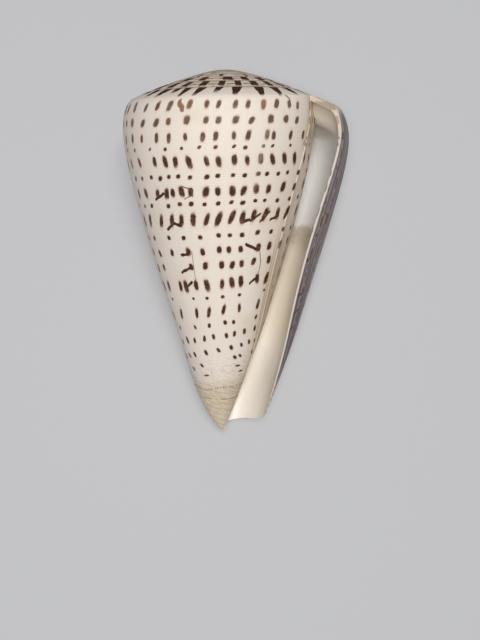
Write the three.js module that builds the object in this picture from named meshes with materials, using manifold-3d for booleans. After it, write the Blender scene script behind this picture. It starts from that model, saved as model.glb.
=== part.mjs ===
// A leopard cone shell, grown as one solid by one rule from the apex to the lip.
// Millimetres, +Z up. It lies on its back with the spire toward +Y and the mouth up and to the right.
import * as THREE from "three";
import Module from "manifold-3d";

// Growth. A turn is counted from the lip back: 0 is the lip, -1 one whorl earlier.
const LENGTH = 120; // apex to front tip, along the axis
const WHORL_GROWTH = 1.334; // radius ratio of one turn to the turn before, on the flank
const SUTURE_GROWTH = 1.307; // the same ratio for the suture on the spire
const BACK_FLATTENING = 0.035; // share of the radius the back loses, where the shell lies on it
const BACK_TURN = -0.3;
const BACK_REACH_TURN = 0.24;
const SUTURE_RADIUS = 27.87; // radius of the last suture where it meets the lip
const SPIRE_HEIGHT = 9.4; // apex above that suture
const SPIRE_POWER = 1.18; // 1 would be a straight cone, 2 a round dome
const APEX_ROUNDING = 6;

// Flank: radius at the axis end of the cone, and how it falls toward the front tip.
const FLANK_RADIUS = 49.35;
const FLANK_SLOPE = 0.272;
const FLANK_SLOPE_PER_TURN = 0.05;
const FLANK_BELLY = 3.65;
const FLANK_BELLY_PER_TURN = 5.8;
const FLANK_FLARE = 1.3;

// Shoulder: how far its corner is rounded, and the rise of the ramp inside it.
const SHOULDER_ROUNDING = 7;
const SHOULDER_ROUNDING_PER_TURN = 5.2;
const SHOULDER_ROOM_LEAST = 0.3;
const RAMP_RISE = 0.87;

// Crest: the edge between spire and shoulder, which is rounded on the last whorl alone.
const CREST_ROUNDING = 1.3;
const CREST_FROM = 4; // full this far outside the suture
const CREST_BLEND_TURN = 0.12;
const CREST_LIP_SHARE = 0.35;
const CREST_LIP_TURN = 0.2;

// Front end: the margin falls gently at the lip and becomes a blunt cone round the columella.
const MARGIN_RISE_LIP = 0.25;
const MARGIN_RISE_OLD = 1.12;
const MARGIN_ROUNDING_LIP = 3.4;
const MARGIN_ROUNDING_OLD = 3;
const MARGIN_BLEND_FROM_TURN = 0.3;
const MARGIN_BLEND_TURN = 0.25;
const TIP_RADIUS_LEAST = 1;
const TIP_ROUNDING = 1.2;
const TIP_SHIFT = -1.55; // the front tip leans this far to the left
const TIP_SHIFT_FROM = 80;
const TIP_SHIFT_OVER = 42;

// Lip: azimuth of its edge from +X, with a bend that carries its middle forward.
const LIP_AZIMUTH = 17.9;
const LIP_BEND = 94;

// Mouth: the hollow of the last whorl.
const LIP_THICKNESS = 0.9;
const WALL_THICKNESS = 2.8;
const WALL_THICKENS_OVER = 0.12;
const BACK_THICKENING = 1.6;
const CEILING_THICKNESS = 1.3; // at the lip
const CEILING_THICKENING = 6; // the callus that closes the back end of the mouth
const CEILING_THICKENS_OVER = 0.06;
const CEILING_ROUNDING = 0.15; // share of the thickening that rounds its corner
const HOLLOW_TURN = 1.25; // how far back the hollow winds
const HOLLOW_ROUND_TURN = 0.3;
const HOLLOW_UNDERCUT = 0.5; // its inner side lies this much under the whorl outside
const UNDERCUT_PER_TURN = 25;
const HOLLOW_LEAST = 0.05; // where it has narrowed to nothing
const FRONT_OVERRUN = 4; // it stands out this far through the open front end
const BASE_OPEN_TURN = 0.36; // the front end is open from the lip this far back
const BASE_CLOSED_TURN = 0.5;
const HOLLOW_FRONT_SHARE = 0.95;
const HOLLOW_FRONT_ROUNDING = 14;
const COLUMELLA_LEAST = 1.2;

// Spire: whorls that show, and the groove of the suture between them.
const SPIRE_WHORLS = 5;
const SUTURE_GROOVE = 0.55;
const SUTURE_GROOVE_WIDTH = 0.1;
const GROOVE_FADE_TURN = 0.06;

// Rest: how the shell lies on the ground.
const AXIS_TILT = 14.8; // spire end up
const AXIS_ROLL = -1.5; // about its own axis
const REST_FLAT = 0.35; // depth of the worn flat it lies on

// Mesh density.
const STATIONS = 60;
const RAMP_STEPS = [1, 0.88, 0.12, 0];
const LAST_RAMP_STEPS = [1, 0.88, 0.42, 0];
const FLANK_ROWS = 27;
const HOLLOW_FIRST_ROW = 2;
const HOLLOW_FINE_STATIONS = 12;
const HOLLOW_COARSE_STATIONS = 30;

const SHELL_COLOUR = 0xece2d4;
const SHELL_ROUGHNESS = 0.35;

const smooth = (x) => {
  const t = Math.min(Math.max(x, 0), 1);
  return t * t * (3 - 2 * t);
};
const blend = (a, b, t) => a + (b - a) * t;

// The smaller of two lengths, with the corner between them rounded.
const roundedMin = (a, b, rounding) =>
  (a + b) / 2 - Math.hypot((a - b) / 2, rounding);

// 1 in the middle of the back of the last whorl, 0 away from it.
const onBack = (turn) =>
  smooth(1 - Math.abs(turn - BACK_TURN) / BACK_REACH_TURN);
const growth = (turn) =>
  WHORL_GROWTH ** turn * (1 - BACK_FLATTENING * onBack(turn));
const sutureRadius = (turn) => SUTURE_RADIUS * SUTURE_GROWTH ** turn;
const spireDepth = (radius) =>
  SPIRE_HEIGHT *
  ((Math.hypot(radius, APEX_ROUNDING) / SUTURE_RADIUS) ** SPIRE_POWER -
    (APEX_ROUNDING / SUTURE_RADIUS) ** SPIRE_POWER);

const radiusAtSpireDepth = (depth) => {
  const apex = (APEX_ROUNDING / SUTURE_RADIUS) ** SPIRE_POWER;
  const reach = SUTURE_RADIUS * (depth / SPIRE_HEIGHT + apex) ** (1 / SPIRE_POWER);
  return Math.sqrt(Math.max(reach ** 2 - APEX_ROUNDING ** 2, 0));
};

// The later whorl covers this one from here outward.
const shoulderRadius = (turn) => sutureRadius(turn + 1);

function flankRadius(turn, depth) {
  const share = depth / LENGTH;
  const slope = FLANK_SLOPE + FLANK_SLOPE_PER_TURN * turn;
  const belly = FLANK_BELLY - FLANK_BELLY_PER_TURN * turn;
  return (
    FLANK_RADIUS * growth(turn) -
    slope * depth -
    belly * share ** 2 +
    FLANK_FLARE * share ** 4
  );
}

// Radius of a whorl at a depth below the apex, as if its front end were not closed.
function openRadius(turn, depth) {
  const shoulder = shoulderRadius(turn);
  const shoulderDepth = spireDepth(shoulder);
  const rounding =
    (SHOULDER_ROUNDING - SHOULDER_ROUNDING_PER_TURN * turn) * growth(turn);
  const room = Math.max(flankRadius(turn, shoulderDepth) - shoulder, SHOULDER_ROOM_LEAST);
  const ramp =
    shoulder + rounding ** 2 / room + (depth - shoulderDepth) / RAMP_RISE;
  return roundedMin(ramp, flankRadius(turn, depth), rounding);
}

// Radius of a whorl under its spire, with the crest of the last whorl rounded.
function crestRadius(turn, depth) {
  const spire = radiusAtSpireDepth(depth);
  const rounding =
    CREST_ROUNDING *
    smooth((spire - sutureRadius(turn)) / CREST_FROM) *
    smooth((turn + 1) / CREST_BLEND_TURN) *
    smooth(CREST_LIP_SHARE - turn / CREST_LIP_TURN);
  return roundedMin(spire, openRadius(turn, depth), rounding);
}

// Radius of a whorl, closed round the front tip.
function whorlRadius(turn, depth) {
  const age = smooth((-turn - MARGIN_BLEND_FROM_TURN) / MARGIN_BLEND_TURN);
  const rise = blend(MARGIN_RISE_LIP, MARGIN_RISE_OLD, age);
  const rounding = blend(MARGIN_ROUNDING_LIP, MARGIN_ROUNDING_OLD, age);
  const atTip = Math.max(openRadius(turn, LENGTH), TIP_RADIUS_LEAST);
  const left = Math.max(LENGTH - depth, 0);
  const margin =
    Math.sqrt(2 * TIP_ROUNDING * left + (left / rise) ** 2) +
    rounding ** 2 / atTip;
  return Math.max(roundedMin(crestRadius(turn, depth), margin, rounding), 0);
}

// Rows lie closer together at the shoulder and at the front tip.
const rowShare = (row) => (1 - Math.cos((Math.PI * row) / FLANK_ROWS)) / 2;

// A point of the shell in its own frame: axis along Y, apex up.
function place(turn, depth, radius) {
  const share = depth / LENGTH;
  const bend = LIP_BEND * share * (1 - share);
  const azimuth =
    THREE.MathUtils.degToRad(LIP_AZIMUTH + bend) + 2 * Math.PI * turn;
  const shift = TIP_SHIFT * smooth((depth - TIP_SHIFT_FROM) / TIP_SHIFT_OVER);
  return [
    radius * Math.cos(azimuth) + shift,
    LENGTH / 2 - depth,
    radius * Math.sin(azimuth),
  ];
}

// A point of the spire: `across` is 1 at a whorl's own suture and 0 at the next one's.
function spirePoint(turn, whorl, across) {
  const at = turn - whorl;
  const spiral = sutureRadius(at + 1 - across);
  const base = spireDepth(spiral);
  const radius = whorl > 0 || across === 1 ? spiral : crestRadius(at, base);
  const outer = whorl > 0 ? 1 : 1 - smooth((turn + 1) / GROOVE_FADE_TURN);
  const groove = (distance) => Math.exp(-((distance / SUTURE_GROOVE_WIDTH) ** 2));
  const depth =
    SUTURE_GROOVE * (groove(1 - across) + outer * groove(across));
  return place(at, base + depth * (spiral / SUTURE_RADIUS), radius);
}

// Points and triangles of a closed surface.
class Surface {
  points = [];
  triangles = [];

  add(point) {
    this.points.push(...point);
    return this.points.length / 3 - 1;
  }

  quad(a, b, c, d) {
    this.triangles.push(a, b, c, a, c, d);
  }

  solid(wasm) {
    const mesh = new wasm.Mesh({
      numProp: 3,
      vertProperties: new Float32Array(this.points),
      triVerts: new Uint32Array(this.triangles),
    });
    mesh.merge();
    return new wasm.Manifold(mesh);
  }
}

// The outside, from the apex down to the front tip, with a flat step behind the lip.
function outside() {
  const surface = new Surface();
  const apex = surface.add(place(0, 0, 0));
  const columns = [];
  for (let i = 0; i <= STATIONS; i += 1) {
    const turn = -i / STATIONS;
    const column = [];
    for (let whorl = SPIRE_WHORLS - 1; whorl > 0; whorl -= 1) {
      const steps = whorl === SPIRE_WHORLS - 1 ? RAMP_STEPS : RAMP_STEPS.slice(1);
      for (const across of steps) {
        column.push(surface.add(spirePoint(turn, whorl, across)));
      }
    }
    for (let step = 1; step < RAMP_STEPS.length; step += 1) {
      const last = smooth((turn + 1) / CREST_BLEND_TURN);
      const across = blend(RAMP_STEPS[step], LAST_RAMP_STEPS[step], last);
      column.push(surface.add(spirePoint(turn, 0, across)));
    }
    const top = spireDepth(shoulderRadius(turn));
    for (let row = 1; row <= FLANK_ROWS; row += 1) {
      const depth = blend(top, LENGTH, rowShare(row));
      const radius = row === FLANK_ROWS ? 0 : whorlRadius(turn, depth);
      column.push(surface.add(place(turn, depth, radius)));
    }
    columns.push(column);
  }
  const rows = columns[0].length;
  for (let i = 0; i < STATIONS; i += 1) {
    surface.triangles.push(apex, columns[i][0], columns[i + 1][0]);
    for (let row = 0; row + 1 < rows; row += 1) {
      surface.quad(
        columns[i][row],
        columns[i][row + 1],
        columns[i + 1][row + 1],
        columns[i + 1][row],
      );
    }
  }
  closeStep(surface, apex, columns, rows);
  return surface;
}

// Closes the step between the lip and the whorl before it. On the spire both are the same line.
function closeStep(surface, apex, columns, rows) {
  const lip = columns[0];
  const old = columns[STATIONS];
  const perWhorl = RAMP_STEPS.length - 1;
  for (let row = 0; row < perWhorl; row += 1) {
    surface.triangles.push(apex, old[row], old[row + 1]);
  }
  const shoulder = perWhorl * SPIRE_WHORLS;
  for (let row = shoulder - perWhorl; row < shoulder; row += 1) {
    surface.triangles.push(old[shoulder], lip[row + 1], lip[row]);
  }
  for (let row = shoulder; row + 1 < rows; row += 1) {
    surface.quad(old[row], old[row + 1], lip[row + 1], lip[row]);
  }
}

const wallThickness = (turn) =>
  blend(LIP_THICKNESS, WALL_THICKNESS, smooth(-turn / WALL_THICKENS_OVER)) +
  BACK_THICKENING * onBack(turn);

// How far the front end is closed at a turn: 0 open, 1 closed.
const frontClosed = (turn) =>
  smooth((-turn - BASE_OPEN_TURN) / (BASE_CLOSED_TURN - BASE_OPEN_TURN));

// Radii of the hollow at a turn and depth: outer side first.
function hollowRadii(turn, depth, front) {
  const inner = Math.max(
    whorlRadius(turn - 1, depth) +
      Math.max(UNDERCUT_PER_TURN * turn, -HOLLOW_UNDERCUT),
    COLUMELLA_LEAST,
  );
  const callus = CEILING_THICKENING * smooth(-turn / CEILING_THICKENS_OVER);
  const lowered = Math.max(depth - CEILING_THICKNESS - callus, 0);
  const outer =
    roundedMin(
      crestRadius(turn, lowered),
      crestRadius(turn, depth),
      callus * CEILING_ROUNDING,
    ) - wallThickness(turn);
  const toFront = Math.max(1 - (front - depth) / HOLLOW_FRONT_ROUNDING, 0);
  const toBack = Math.max(1 - (turn + HOLLOW_TURN) / HOLLOW_ROUND_TURN, 0);
  const narrowing =
    Math.sqrt(Math.max(1 - frontClosed(turn) * toFront ** 2, 0)) *
    Math.sqrt(Math.max(1 - toBack ** 2, 0));
  return [inner + Math.max((outer - inner) * narrowing, HOLLOW_LEAST), inner];
}

// Depths of the rows of the hollow; at the mouth they are those of the whorl behind it.
function hollowDepths(turn, front) {
  const top = spireDepth(sutureRadius(turn));
  const depths = [];
  for (let row = HOLLOW_FIRST_ROW; row <= FLANK_ROWS; row += 1) {
    depths.push(blend(top, front, rowShare(row)));
  }
  depths.push(front + blend(FRONT_OVERRUN, HOLLOW_LEAST, frontClosed(turn)));
  return depths;
}

// One closed ring of the hollow at a turn: down its outer side and up its inner side.
function hollowRing(surface, turn) {
  const closedFront = LENGTH * growth(turn) * HOLLOW_FRONT_SHARE;
  const front = blend(LENGTH, closedFront, frontClosed(turn));
  const outerSide = [];
  const innerSide = [];
  for (const depth of hollowDepths(turn, front)) {
    const [outer, inner] = hollowRadii(turn, depth, front);
    outerSide.push(surface.add(place(turn, depth, outer)));
    innerSide.unshift(surface.add(place(turn, depth, inner)));
  }
  return [...outerSide, ...innerSide];
}

// The hollow of the last whorl as a cutter: a curved slab that winds in from the mouth.
function hollow() {
  const surface = new Surface();
  const rings = [];
  for (let i = -1; i <= HOLLOW_FINE_STATIONS; i += 1) {
    rings.push(hollowRing(surface, -i / STATIONS));
  }
  const fineEnd = -HOLLOW_FINE_STATIONS / STATIONS;
  for (let i = 1; i <= HOLLOW_COARSE_STATIONS; i += 1) {
    const turn = blend(fineEnd, -HOLLOW_TURN, i / HOLLOW_COARSE_STATIONS);
    rings.push(hollowRing(surface, turn));
  }
  const count = rings[0].length;
  for (let i = 0; i + 1 < rings.length; i += 1) {
    for (let row = 0; row < count; row += 1) {
      const next = (row + 1) % count;
      surface.quad(rings[i][row], rings[i][next], rings[i + 1][next], rings[i + 1][row]);
    }
  }
  const mouth = rings[0];
  const back = rings[rings.length - 1];
  const last = count - 1;
  for (let row = 0; row + 1 < count / 2; row += 1) {
    surface.quad(mouth[row], mouth[last - row], mouth[last - row - 1], mouth[row + 1]);
    surface.quad(back[row], back[row + 1], back[last - row - 1], back[last - row]);
  }
  return surface;
}

const wasm = await Module();
wasm.setup();
const lying = outside()
  .solid(wasm)
  .subtract(hollow().solid(wasm))
  .rotate([0, AXIS_ROLL, 0])
  .rotate([AXIS_TILT, 0, 0]);
const { min, max } = lying.boundingBox();
const made = lying
  .translate([-(min[0] + max[0]) / 2, -(min[1] + max[1]) / 2, -min[2] - REST_FLAT])
  .trimByPlane([0, 0, 1], 0)
  .getMesh();

const geometry = new THREE.BufferGeometry();
geometry.setAttribute("position", new THREE.BufferAttribute(made.vertProperties, 3));
geometry.setIndex(new THREE.BufferAttribute(made.triVerts, 1));
geometry.computeVertexNormals();

const shell = new THREE.Mesh(
  geometry,
  new THREE.MeshStandardMaterial({
    color: SHELL_COLOUR,
    roughness: SHELL_ROUGHNESS,
    metalness: 0,
  }),
);
shell.name = "shell";

const group = new THREE.Group();
group.name = "leopard_cone_shell";
group.add(shell);
export default group;
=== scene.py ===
"""The look of a leopard cone shell: one shell, its enamel and the glaze of its mouth.

The shell is grown by one rule from the apex to the lip. A turn is counted back from the
lip: 0 is the lip, -1 one whorl earlier. A depth is measured below the apex along the axis,
in millimetres. The same rule places the mesh and the markings.
"""

import logging
import math
from collections.abc import Callable, Iterable
from dataclasses import dataclass, field, fields
from functools import lru_cache, partial, reduce
from typing import Union

import bpy
from mathutils import Matrix, Vector


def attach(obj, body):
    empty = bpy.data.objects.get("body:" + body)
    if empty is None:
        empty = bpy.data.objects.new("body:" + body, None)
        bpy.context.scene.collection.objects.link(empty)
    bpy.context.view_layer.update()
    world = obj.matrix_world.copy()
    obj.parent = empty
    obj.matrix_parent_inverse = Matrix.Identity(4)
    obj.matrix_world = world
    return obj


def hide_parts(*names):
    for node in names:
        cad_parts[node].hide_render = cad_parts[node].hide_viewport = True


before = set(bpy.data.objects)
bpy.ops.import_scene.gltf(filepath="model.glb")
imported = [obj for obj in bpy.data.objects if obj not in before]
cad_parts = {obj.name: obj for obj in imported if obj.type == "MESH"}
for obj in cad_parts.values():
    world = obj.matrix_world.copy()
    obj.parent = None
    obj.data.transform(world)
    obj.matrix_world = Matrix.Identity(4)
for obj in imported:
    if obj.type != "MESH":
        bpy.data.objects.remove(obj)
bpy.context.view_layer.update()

LOG = logging.getLogger("cone_shell")
MILLIMETRE = 0.001
WELD = 0.001  # points closer than this many millimetres are one point
TINY = 1e-4
MOUTH = "mouth"  # 1 on faces that the hollow cut out
PARIETAL_WALL = "parietal_wall"  # 1 on faces just inside the mouth that still carry enamel
VALUE = "value "  # the inputs of a node group, beside the sizes, are numbered after this

Socket = bpy.types.NodeSocket
Tree = bpy.types.NodeTree
Colour = tuple[float, float, float]
Span = tuple[float, float]


def both_ways(operation: str) -> tuple[Callable, Callable]:
    """Makes the two operators of one kind of Math node.

    Args:
        operation: Operation of the node.

    Returns:
        The operator with the field first, and the one with the field second.
    """

    def first(one: "Field", other: "Scalar") -> "Field":
        """Field first."""
        return math_node(operation, one, other)

    def second(one: "Field", other: "Scalar") -> "Field":
        """Field second."""
        return math_node(operation, other, one)

    return first, second


class Field:
    """A number that a node tree works out at each point, with the usual operators."""

    __add__, __radd__ = both_ways("ADD")
    __sub__, __rsub__ = both_ways("SUBTRACT")
    __mul__, __rmul__ = both_ways("MULTIPLY")
    __truediv__, __rtruediv__ = both_ways("DIVIDE")
    __pow__, __rpow__ = both_ways("POWER")

    def __init__(self, tree: Tree, socket: Socket) -> None:
        """Keeps the tree and the socket that carries the number."""
        self.tree = tree
        self.socket = socket

    def __neg__(self) -> "Field":
        """Negative."""
        return self * -1.0


Scalar = Union[float, Field]
Place = tuple[Scalar, Scalar, Scalar]
Given = dict[Union[int, str], object]  # what the inputs of a node get, by name or number


def add_node(tree: Tree, kind: str, given: Given, **settings: object) -> bpy.types.Node:
    """Adds a node, sets its properties and feeds its inputs.

    Args:
        tree: Where it goes.
        kind: Its type.
        given: A field, a socket or a plain value for each of its inputs, by name or number.
        **settings: Its properties.

    Returns:
        The node.
    """
    node = tree.nodes.new(kind)
    for name, value in settings.items():
        setattr(node, name, value)
    for name, value in given.items():
        source = value.socket if isinstance(value, Field) else value
        if isinstance(source, Socket):
            tree.links.new(source, node.inputs[name])
        else:
            node.inputs[name].default_value = source
    return node


def tree_of(*values: Scalar) -> Tree:
    """Finds the tree that the first field among the numbers belongs to."""
    return next(value.tree for value in values if isinstance(value, Field))


@lru_cache(maxsize=None)
def math_node(operation: str, *values: Scalar) -> Field:
    """Adds one Math node, or finds the one that already works the same number out.

    Args:
        operation: Its operation.
        *values: Its inputs in order.

    Returns:
        Its result.
    """
    tree = tree_of(*values)
    node = add_node(tree, "ShaderNodeMath", dict(enumerate(values)), operation=operation)
    return Field(tree, node.outputs[0])


# Single Math nodes by plain names. above is 1 where the first number is greater, otherwise 0.
root = partial(math_node, "SQRT")
size_of = partial(math_node, "ABSOLUTE")
whole = partial(math_node, "FLOOR")
greater = partial(math_node, "MAXIMUM")
lesser = partial(math_node, "MINIMUM")
above = partial(math_node, "GREATER_THAN")


def sine(angle: Scalar) -> Scalar:
    """Sine of an angle in radians."""
    return math_node("SINE", angle) if isinstance(angle, Field) else math.sin(angle)


def cosine(angle: Scalar) -> Scalar:
    """Cosine of an angle in radians."""
    return math_node("COSINE", angle) if isinstance(angle, Field) else math.cos(angle)


def hypotenuse(a: Field, b: Scalar) -> Field:
    """Length of the long side over two short ones."""
    return root(a * a + b * b)


def hill(value: Field, width: Scalar) -> Field:
    """A smooth bump: 1 at zero, and nearly nothing two widths away."""
    return math_node("EXPONENT", -((value / width) ** 2.0))


def blend(a: Scalar, b: Scalar, share: Scalar) -> Scalar:
    """Goes from a to b as share goes from 0 to 1."""
    return a + (b - a) * share


@lru_cache(maxsize=None)
def ramp(value: Field, low: Scalar, high: Scalar) -> Field:
    """Rises smoothly from 0 at low to 1 at high.

    Args:
        value: The number that is looked at.
        low: Where the rise starts.
        high: Where it ends.

    Returns:
        A number from 0 to 1.
    """
    given = {"Value": value, "From Min": low, "From Max": high}
    node = add_node(value.tree, "ShaderNodeMapRange", given, interpolation_type="SMOOTHSTEP")
    return Field(value.tree, node.outputs["Result"])


def smooth(value: Field) -> Field:
    """Rises smoothly from 0 at 0 to 1 at 1."""
    return ramp(value, 0.0, 1.0)


def rounded_lesser(a: Scalar, b: Scalar, rounding: Scalar) -> Scalar:
    """The lesser of two lengths, with the corner between them rounded."""
    return (a + b) / 2.0 - hypotenuse((a - b) / 2.0, rounding)


@dataclass
class ShellGrowth:
    """The rule that the shell grows by. In a node tree the sizes are fields.

    Lengths are in millimetres, and a turn is counted back from the lip.
    """

    length: Scalar = 120.0
    whorl_growth: Scalar = 1.334
    suture_growth: Scalar = 1.307
    back_flattening: Scalar = 0.035
    back_turn: Scalar = -0.3
    back_reach: Scalar = 0.24
    suture_radius: Scalar = 27.87
    spire_height: Scalar = 9.4
    spire_power: Scalar = 1.18
    apex_rounding: Scalar = 6.0
    flank_radius: Scalar = 49.35
    flank_slope: Scalar = 0.272
    flank_slope_per_turn: Scalar = 0.05
    flank_belly: Scalar = 3.65
    flank_belly_per_turn: Scalar = 5.8
    flank_flare: Scalar = 1.3
    shoulder_rounding: Scalar = 7.0
    shoulder_rounding_per_turn: Scalar = 5.2
    shoulder_room: Scalar = 0.3
    ramp_rise: Scalar = 0.87
    crest_rounding: Scalar = 1.3
    crest_from: Scalar = 4.0
    crest_starts: Scalar = -1.0
    crest_full: Scalar = -0.88
    crest_at_lip: Scalar = 0.35
    crest_fades_over: Scalar = 0.2
    margin_rise_lip: Scalar = 0.25
    margin_rise_old: Scalar = 1.12
    margin_rounding_lip: Scalar = 3.4
    margin_rounding_old: Scalar = 3.0
    margin_ages_from: Scalar = 0.3
    margin_ages_to: Scalar = 0.55
    tip_rounding: Scalar = 1.2
    tip_shift: Scalar = -1.55
    tip_shift_from: Scalar = 80.0
    tip_shift_to: Scalar = 122.0
    lip_azimuth: Scalar = 17.9
    lip_bend: Scalar = 94.0
    lip_thickness: Scalar = 0.9
    wall_thickness: Scalar = 2.8
    wall_thickens_over: Scalar = 0.12
    back_thickening: Scalar = 1.6
    ceiling_thickness: Scalar = 1.3
    ceiling_thickening: Scalar = 6.0
    ceiling_thickens_over: Scalar = 0.06
    ceiling_rounding: Scalar = 0.15
    hollow_turn: Scalar = 1.25
    hollow_round_turn: Scalar = 0.3
    hollow_undercut: Scalar = 0.5
    undercut_per_turn: Scalar = 25.0
    base_open_turn: Scalar = 0.36
    base_closed_turn: Scalar = 0.5
    hollow_front_share: Scalar = 0.95
    hollow_front_rounding: Scalar = 14.0
    columella_least: Scalar = 1.2
    suture_groove: Scalar = 0.55
    suture_groove_width: Scalar = 0.1

    def on_back(self, turn: Field) -> Field:
        """1 in the middle of the back of the last whorl, 0 away from it."""
        return smooth(1.0 - size_of(turn - self.back_turn) / self.back_reach)

    def grown(self, turn: Field) -> Field:
        """Size of the whorl at a turn, against the lip."""
        return self.whorl_growth**turn * (1.0 - self.back_flattening * self.on_back(turn))

    def suture(self, turn: Field) -> Field:
        """Radius of the suture at a turn."""
        return self.suture_radius * self.suture_growth**turn

    def shoulder(self, turn: Field) -> Field:
        """Radius from which the later whorl covers the one at a turn."""
        return self.suture(turn + 1.0)

    def apex_share(self) -> Scalar:
        """How much of the curve of the spire its rounded apex takes away."""
        return (self.apex_rounding / self.suture_radius) ** self.spire_power

    def spire_depth(self, radius: Field) -> Field:
        """Depth of the spire below the apex at a radius."""
        reach = hypotenuse(radius, self.apex_rounding) / self.suture_radius
        return self.spire_height * (reach**self.spire_power - self.apex_share())

    def spire_reach(self, depth: Field) -> Field:
        """Radius of the spire at a depth below the apex.

        Args:
            depth: The depth below the apex.

        Returns:
            The radius in millimetres.
        """
        share = depth / self.spire_height + self.apex_share()
        reach = self.suture_radius * share ** (1.0 / self.spire_power)
        return root(greater(reach * reach - self.apex_rounding * self.apex_rounding, 0.0))

    def flank(self, turn: Field, depth: Field) -> Field:
        """Radius of the flank, as if it had no shoulder and no front end.

        Args:
            turn: The turn.
            depth: The depth below the apex.

        Returns:
            The radius in millimetres.
        """
        share = depth / self.length
        slope = self.flank_slope + self.flank_slope_per_turn * turn
        belly = self.flank_belly - self.flank_belly_per_turn * turn
        curve = self.flank_flare * share**4.0 - belly * share**2.0
        return self.flank_radius * self.grown(turn) - slope * depth + curve

    def open_radius(self, turn: Field, depth: Field) -> Field:
        """Radius of a whorl, as if its front end were not closed.

        Args:
            turn: The turn.
            depth: The depth below the apex.

        Returns:
            The radius in millimetres.
        """
        shoulder = self.shoulder(turn)
        top = self.spire_depth(shoulder)
        rounding = self.shoulder_rounding - self.shoulder_rounding_per_turn * turn
        rounding = rounding * self.grown(turn)
        room = greater(self.flank(turn, top) - shoulder, self.shoulder_room)
        rise = shoulder + rounding * rounding / room + (depth - top) / self.ramp_rise
        return rounded_lesser(rise, self.flank(turn, depth), rounding)

    def crest(self, turn: Field, depth: Field) -> Field:
        """Radius of a whorl under its spire, with the edge of the last shoulder rounded.

        Args:
            turn: The turn.
            depth: The depth below the apex.

        Returns:
            The radius in millimetres.
        """
        spire = self.spire_reach(depth)
        inside = smooth((spire - self.suture(turn)) / self.crest_from)
        last = ramp(turn, self.crest_starts, self.crest_full)
        last = last * smooth(self.crest_at_lip - turn / self.crest_fades_over)
        rounding = self.crest_rounding * inside * last
        return rounded_lesser(spire, self.open_radius(turn, depth), rounding)

    def whorl(self, turn: Field, depth: Field) -> Field:
        """Radius of a whorl, closed round the front tip.

        Args:
            turn: The turn.
            depth: The depth below the apex.

        Returns:
            The radius in millimetres.
        """
        age = ramp(-turn, self.margin_ages_from, self.margin_ages_to)
        rise = blend(self.margin_rise_lip, self.margin_rise_old, age)
        rounding = blend(self.margin_rounding_lip, self.margin_rounding_old, age)
        left = greater(self.length - depth, 0.0)
        at_tip = greater(self.open_radius(turn, depth * 0.0 + self.length), 1.0)
        edge = root(2.0 * self.tip_rounding * left + (left / rise) ** 2.0)
        margin = edge + rounding * rounding / at_tip
        return greater(rounded_lesser(self.crest(turn, depth), margin, rounding), 0.0)

    def shift(self, depth: Field) -> Field:
        """How far the axis leans aside toward the front tip."""
        return self.tip_shift * ramp(depth, self.tip_shift_from, self.tip_shift_to)

    def lip_angle(self, depth: Field) -> Field:
        """Azimuth of the lip at a depth, in radians."""
        share = depth / self.length
        return math_node("RADIANS", self.lip_azimuth + self.lip_bend * share * (1.0 - share))

    def wall(self, turn: Field) -> Field:
        """Thickness of the wall at a turn.

        Args:
            turn: The turn.

        Returns:
            The thickness in millimetres.
        """
        age = smooth(-turn / self.wall_thickens_over)
        thickness = blend(self.lip_thickness, self.wall_thickness, age)
        return thickness + self.back_thickening * self.on_back(turn)

    def front_closed(self, turn: Field) -> Field:
        """0 where the front end of the hollow is open, 1 where it is closed."""
        return ramp(-turn, self.base_open_turn, self.base_closed_turn)

    def hollow_inner(self, turn: Field, depth: Field) -> Field:
        """Radius of the inner side of the hollow."""
        undercut = greater(self.undercut_per_turn * turn, -self.hollow_undercut)
        return greater(self.whorl(turn - 1.0, depth) + undercut, self.columella_least)

    def hollow_width(self, turn: Field, depth: Field, inner: Field, front: Field) -> Field:
        """Width of the hollow, outward from its inner side.

        Args:
            turn: The turn.
            depth: The depth below the apex.
            inner: Radius of the inner side.
            front: Depth of the front end of the hollow.

        Returns:
            The width in millimetres.
        """
        callus = self.ceiling_thickening * smooth(-turn / self.ceiling_thickens_over)
        lowered = greater(depth - self.ceiling_thickness - callus, 0.0)
        outer = rounded_lesser(
            self.crest(turn, lowered), self.crest(turn, depth), callus * self.ceiling_rounding
        )
        to_front = greater(1.0 - (front - depth) / self.hollow_front_rounding, 0.0)
        to_back = greater(1.0 - (turn + self.hollow_turn) / self.hollow_round_turn, 0.0)
        closed = root(greater(1.0 - self.front_closed(turn) * to_front * to_front, 0.0))
        narrowing = closed * root(greater(1.0 - to_back * to_back, 0.0))
        return (outer - self.wall(turn) - inner) * narrowing


@dataclass(frozen=True)
class ShellPose:
    """How the grown shell lies in the frame."""

    axis_roll: float = -1.5
    axis_tilt: float = 14.8
    origin: tuple[float, float, float] = (-2.86289, -0.38672, 24.51713)
    scale: float = 0.9990 * MILLIMETRE  # a hair small, so that it stays within its box

    def offset(self) -> tuple[float, float, float]:
        """Place of the middle of the axis, in metres."""
        return tuple(value * self.scale for value in self.origin)


@dataclass(frozen=True)
class ShellLattice:
    """How finely the shell is laid out."""

    columns: int = 220
    column_crowding: float = 0.78  # columns crowd toward the lip and the step behind it
    spire_whorls: int = 9
    strip_rows: int = 10
    row_crowding: float = 0.6  # rows of the spire crowd toward the sutures
    flank_rows: int = 190
    front_share: float = 0.985
    hollow_columns: int = 130
    hollow_crowding: float = 1.5
    hollow_rows: int = 84
    hollow_first_share: float = 0.074
    hollow_from_turn: float = 0.0167
    front_overrun: float = 4.0
    hollow_least: float = 0.05
    enamel_turns: float = 0.1  # how far the enamel goes on inside the mouth
    crisp_edge: float = 38.0  # degrees from which an edge is shaded sharp


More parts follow.
